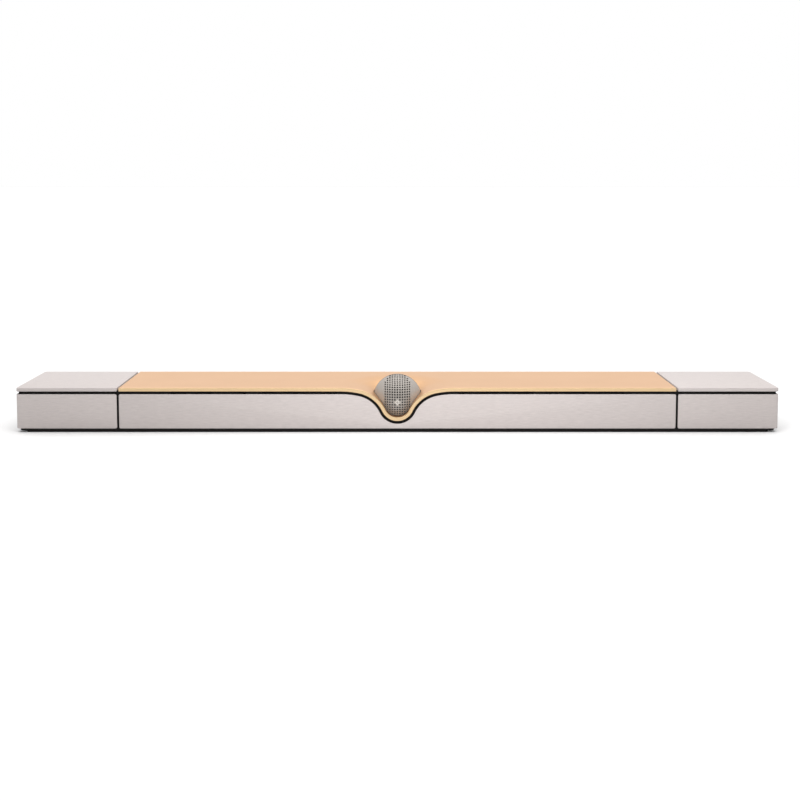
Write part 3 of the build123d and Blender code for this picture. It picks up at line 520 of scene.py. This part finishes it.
def cut_by(bm, point, normal, clear=False):
    """Cuts the mesh along a plane, and may drop the part that the normal points to."""
    bmesh.ops.bisect_plane(bm, geom=bm.verts[:] + bm.edges[:] + bm.faces[:], dist=SAME_PLACE,
                           plane_co=point, plane_no=normal, clear_outer=clear)


def hole_number(distance):
    """The nearest hole's number along one direction, and how far from its middle a place is."""
    arc = BALL_RADIUS * math.asin(max(-1, min(1, distance / BALL_RADIUS)))
    number = round(arc / HOLE_PITCH)
    return number, abs(arc - number * HOLE_PITCH)


def is_punched(place):
    """True where a hole is: straight columns and rows, seen with the ball facing -Y."""
    column, off_column = hole_number(place.x - BALL.x)
    row, off_row = hole_number(place.z - BALL.z)
    if max(off_column, off_row) > HOLE / 2 or abs(column) > HOLE_COLUMNS:
        return False
    x, z = [BALL_RADIUS * math.sin(number * HOLE_PITCH / BALL_RADIUS) for number in (column, row)]
    under_ring = abs(column) + abs(row) <= 1
    inside = math.hypot(x / PUNCHED_HALF_WIDTH, z / PUNCHED_HALF_HEIGHT) < 1
    return inside and not under_ring


def make_ball_grille():
    """Front half of the ball, punched with square holes."""
    bm = bmesh.new()
    bmesh.ops.create_uvsphere(bm, u_segments=128, v_segments=64, radius=BALL_RADIUS,
                              matrix=Matrix.Translation(BALL))
    cut_by(bm, (0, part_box("ball_front_grille")[1].y, 0), (0, 1, 0), clear=True)
    for count, axis in ((HOLE_COLUMNS, Vector((1, 0, 0))), (HOLE_ROWS, Vector((0, 0, 1)))):
        for number in range(-count, count + 1):
            for edge in (-HOLE / 2, HOLE / 2):
                angle = (number * HOLE_PITCH + edge) / BALL_RADIUS
                if abs(angle) < math.pi / 2:
                    cut_by(bm, BALL + axis * BALL_RADIUS * math.sin(angle), axis)
    for vert in bm.verts:
        vert.co = BALL + (vert.co - BALL).normalized() * BALL_RADIUS
    punched = [f for f in bm.faces if is_punched(f.calc_center_median())]
    bmesh.ops.delete(bm, geom=punched, context="FACES")
    made = bmesh.ops.extrude_face_region(bm, geom=bm.faces[:], use_keep_orig=True)
    inner = [g for g in made["geom"] if isinstance(g, bmesh.types.BMVert)]
    shrink = 1 - SHELL / BALL_RADIUS
    bmesh.ops.scale(bm, vec=(shrink, shrink, shrink), space=Matrix.Translation(-BALL), verts=inner)
    bmesh.ops.recalc_face_normals(bm, faces=bm.faces)
    grille = finish_piece("ball_grille", bm, "ball", PAINT)
    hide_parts("ball_front_grille")


def make_dust_cloth():
    """Thin black cloth behind the holes, stretched over the end of the driver's collar."""
    bm = bmesh.new()
    bmesh.ops.create_uvsphere(bm, u_segments=64, v_segments=32, radius=DUST_CLOTH_RADIUS,
                              matrix=Matrix.Translation(BALL))
    cut_by(bm, (0, DUST_CLOTH_BACK, 0), (0, 1, 0), clear=True)
    fold_uv(bm)
    cloth = finish_piece("ball_dust_cloth", bm, "ball", DUST_CLOTH)
    thick = cloth.modifiers.new("cloth thickness", "SOLIDIFY")
    thick.thickness = DUST_CLOTH_THICKNESS
    thick.offset = -1


make_ball_grille()
make_dust_cloth()


# ------------------------------------------------------------------ floor, light, camera

FLOOR_HALF_SIZE = 40.0
FLOOR_BELOW = 0.2 * MM
CAMERA_PITCH = 5.0


def make_stage():
    """A pale paper floor, just below the runners."""
    bm = bmesh.new()
    bmesh.ops.create_grid(bm, x_segments=1, y_segments=1, size=FLOOR_HALF_SIZE)
    mesh = bpy.data.meshes.new("floor")
    bm.to_mesh(mesh)
    bm.free()
    paper, _, _ = surface("white_paper", Base_Color=colour("DEDEDE"), Roughness=0.9)
    mesh.materials.append(paper)
    floor = bpy.data.objects.new("floor", mesh)
    floor.location.z = cad_low.z - FLOOR_BELOW
    bpy.context.scene.collection.objects.link(floor)


def lamp(name, kind, location, aim, energy, **settings):
    """Adds a light that looks at a place."""
    data = bpy.data.lights.new(name, kind)
    data.energy = energy
    for key, value in settings.items():
        setattr(data, key, value)
    obj = bpy.data.objects.new(name, data)
    obj.location = location
    obj.rotation_euler = (Vector(aim) - Vector(location)).to_track_quat("-Z", "Y").to_euler()
    bpy.context.scene.collection.objects.link(obj)
    return obj


def make_lights():
    """White room, soft light from above and a soft box near the middle of the front."""
    world = bpy.data.worlds.new("white_room")
    world.use_nodes = True
    tree = world.node_tree
    ray = add(tree, "ShaderNodeTexCoord").outputs["Generated"]
    depth = add(tree, "ShaderNodeSeparateXYZ", {"Vector": ray}).outputs["Y"]
    # the wall behind the camera is only lit by what comes back off the others
    wall = add(tree, "ShaderNodeMapRange", {"Value": depth, "From Min": -0.8, "From Max": 0.1,
                                            "To Min": 0.45, "To Max": 1.0}).outputs["Result"]
    tree.nodes["Background"].inputs["Color"].default_value = colour("FFFFFF")
    tree.links.new(wall, tree.nodes["Background"].inputs["Strength"])
    bpy.context.scene.world = world
    lamp("overhead", "SUN", (0, 0, 3), (0, 0, 0), 1.95, angle=math.radians(80))
    box = lamp("front_box", "AREA", (0.08, -0.66, 0.42), (0.08, 0, 0.02), 3.0,
               shape="RECTANGLE", size=0.3, size_y=0.2)
    box.visible_glossy = False  # the metals mirror the white room, not this lamp


def make_camera():
    """A long lens a little above the bar, level with its middle, shifted down to frame it."""
    data = bpy.data.cameras.new("camera")
    data.lens = 55.59
    data.sensor_width = 36
    data.shift_x = 0.00328
    data.shift_y = -0.1445
    data.clip_end = 100
    camera = bpy.data.objects.new("camera", data)
    camera.location = (0, -HALF_DEPTH - 1.9193, 0.4018)
    camera.rotation_euler = (math.radians(90 - CAMERA_PITCH), 0, 0)
    bpy.context.scene.collection.objects.link(camera)
    bpy.context.scene.camera = camera


make_stage()
make_lights()
make_camera()
bpy.context.scene.view_settings.view_transform = "Standard"
